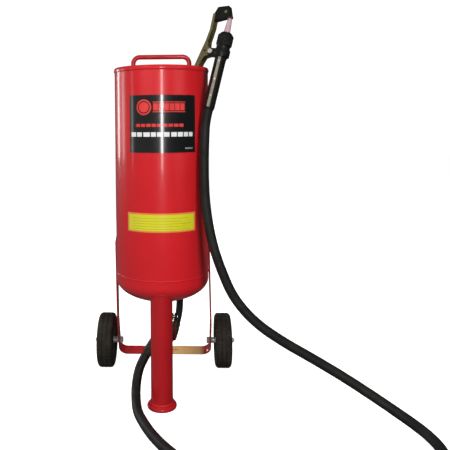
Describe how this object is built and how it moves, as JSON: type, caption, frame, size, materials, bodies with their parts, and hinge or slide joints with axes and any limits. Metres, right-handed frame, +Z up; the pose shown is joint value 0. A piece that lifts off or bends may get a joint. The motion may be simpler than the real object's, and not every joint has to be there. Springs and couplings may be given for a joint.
{
  "type": "portable pressure-pot abrasive blaster",
  "caption": "Upright red pressure pot on a front leg and two wheels that feeds abrasive through a valve, mixing tee and hose to a hand-held blast gun.",
  "frame": {"origin": "middle of the object's footprint box, on the floor, measured without the free blast hose", "axes": "+Z up and the longest extent, front leg and labels towards -Y, wheels towards +Y, +X to the right seen from the front"},
  "size_m": [0.9464, 0.8199, 1.1591],
  "materials": {
    "red": "gloss",
    "rubber": "matte",
    "zinc": "satin",
    "brass": "satin",
    "cast": "matte",
    "label_black": "gloss",
    "label_yellow": "gloss",
    "hose": "satin",
    "black_metal": "satin",
    "dial": "matte",
    "lens": "gloss",
    "grip_rubber": "satin",
    "ceramic": "matte",
    "olive_zinc": "satin",
    "tyre": "matte",
    "hub": "satin",
    "bush": "matte",
    "needle": "satin"
  },
  "bodies": {
    "root": {"tank_shell": "red", "rim_ring": "red", "bottom_head": "red", "top_head": "red", "fill_neck": "red", "filler_gasket": "rubber", "stem_guide_pipe": "zinc", "top_handle": "red", "front_leg": "red", "leg_foot": "red", "label_black": "label_black", "label_yellow": "label_yellow", "wheel_frame": "red", "axle_bolts": "zinc", "axle_spacers": "zinc", "axle_washers": "zinc", "axle_lock_nuts": "zinc", "outlet_coupling": "red", "pipe_nipples": "zinc", "sand_valve_body": "brass", "mixing_tee": "cast", "outlet_elbow": "cast", "sand_hose_coupling": "brass", "air_inlet_elbow": "brass", "air_hose_fittings": "brass", "air_hose": "hose", "rear_bung": "red", "air_cross": "brass", "air_valve_body": "brass", "inlet_plug": "zinc", "gauge_case": "black_metal", "gauge_dial": "dial", "gauge_lens": "lens", "relief_valve_body": "brass", "gun_body": "grip_rubber", "nozzle_holder": "black_metal", "nozzle_gasket": "rubber", "ceramic_nozzle": "ceramic", "gun_strip": "olive_zinc", "pivot_bracket": "black_metal", "lever_pivot_bolt": "zinc", "lever_spring": "zinc", "sand_hose": "hose"},
    "left_wheel": {"left_tyre": "tyre", "left_hub": "hub", "left_bush": "bush"},
    "right_wheel": {"right_tyre": "tyre", "right_hub": "hub", "right_bush": "bush"},
    "plunger": {"pop_up_plunger": "rubber"},
    "gun_lever": {"lever": "olive_zinc", "stopper_arm": "black_metal", "stopper_pad": "rubber"},
    "sand_valve_trim": {"sand_valve_ball": "zinc", "sand_valve_handle": "zinc", "sand_valve_nut": "zinc"},
    "air_valve_trim": {"air_valve_ball": "zinc", "air_valve_handle": "zinc"},
    "needle": {"gauge_needle": "needle"},
    "relief_pull": {"relief_ring": "zinc"}
  },
  "joints": [
    {"name": "left_wheel_spin", "type": "hinge", "parent": "root", "child": "left_wheel", "pos_m": [-0.1955, 0.116, 0.089], "axis": [1, 0, 0], "continuous": true},
    {"name": "right_wheel_spin", "type": "hinge", "parent": "root", "child": "right_wheel", "pos_m": [0.1955, 0.116, 0.089], "axis": [1, 0, 0], "continuous": true},
    {"name": "plunger_lift", "type": "slide", "parent": "root", "child": "plunger", "axis": [0, 0, 1], "range_m": [0, 0.0115]},
    {"name": "gun_lever_squeeze", "type": "hinge", "parent": "root", "child": "gun_lever", "pos_m": [0.15217, -0.11215, 1.02573], "axis": [-0.521, -0.8269, 0.2119], "range_deg": [0, 9], "stiffness_Nm_per_rad": 3, "springref_deg": -20.05},
    {"name": "sand_valve_turn", "type": "hinge", "parent": "root", "child": "sand_valve_trim", "pos_m": [0, -0.059, 0.23], "axis": [1, 0, 0], "range_deg": [-90, 0]},
    {"name": "air_valve_turn", "type": "hinge", "parent": "root", "child": "air_valve_trim", "pos_m": [0.057, 0.121, 0.76], "axis": [0, 0, 1], "range_deg": [-90, 0]},
    {"name": "gauge_needle_turn", "type": "hinge", "parent": "root", "child": "needle", "pos_m": [0, 0.122, 0.842], "axis": [0, -1, 0], "range_deg": [0, 270], "stiffness_Nm_per_rad": 0.002, "springref_deg": -17.19},
    {"name": "relief_ring_pull", "type": "slide", "parent": "root", "child": "relief_pull", "axis": [-1, 0, 0], "range_m": [0, 0.005], "stiffness_N_per_m": 800, "springref_m": -0.004}
  ]
}
